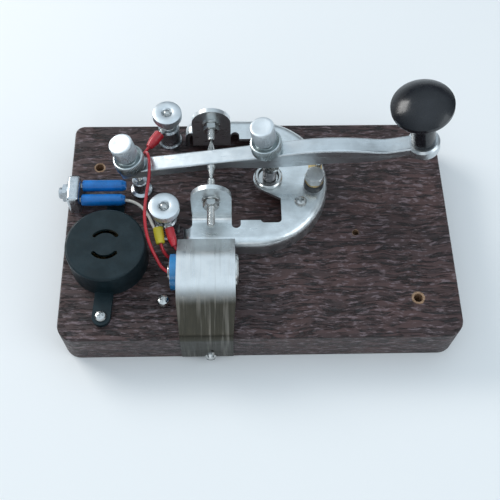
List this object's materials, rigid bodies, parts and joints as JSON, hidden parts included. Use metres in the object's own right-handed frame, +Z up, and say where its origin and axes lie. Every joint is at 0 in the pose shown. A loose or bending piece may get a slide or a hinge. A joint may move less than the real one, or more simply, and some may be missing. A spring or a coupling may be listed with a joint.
{
  "type": "morse key",
  "caption": "Straight telegraph key: sprung lever with a knob on a pressed metal frame, on a wooden practice board with a buzzer, a strapped cell, binding posts and a line socket.",
  "frame": {"origin": "centre of the board's underside", "axes": "+X along the board's length and the lever, towards the knob; +Y to the rear edge, away from the battery strap's foot; +Z up"},
  "size_m": [0.2032, 0.1312, 0.102],
  "materials": {
    "board_wood": "satin, printed grain laminate with raw wood inside the holes",
    "pressed_aluminium": "satin",
    "strap_aluminium": "brushed, fine scratches",
    "plated_steel": "satin nickel plate, knurled where gripped",
    "bright_steel": "bright zinc or nickel plate",
    "spring_steel": "dull dark",
    "knob_black": "moulded, satin gloss",
    "brass": "satin, slightly tarnished",
    "black_insulator": "moulded insulation",
    "buzzer_slate": "moulded, satin",
    "cell_wrap": "shrink sleeve",
    "sleeve_blue": "soft tube",
    "insulation_red": "wire insulation",
    "insulation_yellow": "wire insulation",
    "lead_white": "wire insulation"
  },
  "bodies": {
    "base": {"anvil_bolt": "plated_steel", "anvil_bush": "black_insulator", "anvil_nut": "bright_steel", "anvil_strip": "brass", "anvil_washer": "black_insulator", "base_board": "board_wood", "battery_strap": "strap_aluminium", "board_screw": "bright_steel", "buzzer_base": "black_insulator", "buzzer_case": "buzzer_slate", "buzzer_disc": "brass", "buzzer_screws": "bright_steel", "cell_can": "bright_steel", "cell_cap": "bright_steel", "cell_sleeve": "cell_wrap", "frame_screws": "bright_steel", "frame_spacers": "bright_steel", "jack_body": "plated_steel", "jack_nut": "plated_steel", "jack_tags": "bright_steel", "key_frame": "pressed_aluminium", "lead_front_red": "insulation_red", "lead_front_yellow": "insulation_red", "lead_rear_post": "insulation_red", "lead_sleeve_front": "sleeve_blue", "lead_sleeve_rear": "sleeve_blue", "lead_socket": "lead_white", "lug_front_red": "bright_steel", "lug_front_yellow": "bright_steel", "lug_rear_red": "bright_steel", "lug_sleeve_front_red": "insulation_red", "lug_sleeve_front_yellow": "insulation_yellow", "lug_sleeve_rear_red": "insulation_red", "pivot_nuts": "bright_steel", "pivot_screws": "bright_steel", "pivot_washers": "bright_steel", "post_pillars": "plated_steel", "post_washers": "bright_steel", "return_spring": "spring_steel", "spring_cup": "bright_steel", "strap_screw": "bright_steel", "tail_anvil": "plated_steel"},
    "lever": {"lever": "pressed_aluminium", "lever_axle": "bright_steel", "knob": "knob_black", "knob_screw": "bright_steel", "contact_stud": "bright_steel", "spring_cap": "bright_steel"},
    "gap_screw": {"gap_screw": "plated_steel"},
    "gap_locknut": {"gap_locknut": "plated_steel"},
    "spring_screw": {"spring_screw": "plated_steel"},
    "spring_locknut": {"spring_locknut": "plated_steel"},
    "thumb_nut_rear": {"thumb_nut_rear": "plated_steel"},
    "thumb_nut_front": {"thumb_nut_front": "plated_steel"}
  },
  "joints": [
    {"name": "lever_pivot", "type": "hinge", "parent": "base", "child": "lever", "pos_m": [-0.024, 0.0215, 0.0525], "axis": [0, 1, 0], "range_deg": [0, 1.25], "stiffness_Nm_per_rad": 4, "springref_deg": -2.01, "deforming": ["return_spring"]},
    {"name": "gap_screw_turn", "type": "hinge", "parent": "lever", "child": "gap_screw", "pos_m": [-0.06351, 0.0215, 0.0451], "axis": [-0.184, 0, 0.9829], "range_deg": [-180, 180]},
    {"name": "gap_locknut_turn", "type": "hinge", "parent": "lever", "child": "gap_locknut", "pos_m": [-0.06443, 0.0215, 0.05002], "axis": [-0.184, 0, 0.9829], "range_deg": [0, 180]},
    {"name": "spring_screw_turn", "type": "hinge", "parent": "lever", "child": "spring_screw", "pos_m": [0.0047, 0.0215, 0.05787], "axis": [-0.184, 0, 0.9829], "range_deg": [-180, 180]},
    {"name": "spring_locknut_turn", "type": "hinge", "parent": "lever", "child": "spring_locknut", "pos_m": [0.00378, 0.0215, 0.06279], "axis": [-0.184, 0, 0.9829], "range_deg": [0, 180]},
    {"name": "thumb_nut_rear_turn", "type": "hinge", "parent": "base", "child": "thumb_nut_rear", "pos_m": [-0.0473, 0.0535, 0.045], "axis": [0, 0, 1], "range_deg": [0, 180]},
    {"name": "thumb_nut_front_turn", "type": "hinge", "parent": "base", "child": "thumb_nut_front", "pos_m": [-0.0473, -0.003, 0.045], "axis": [0, 0, 1], "range_deg": [0, 180]}
  ]
}
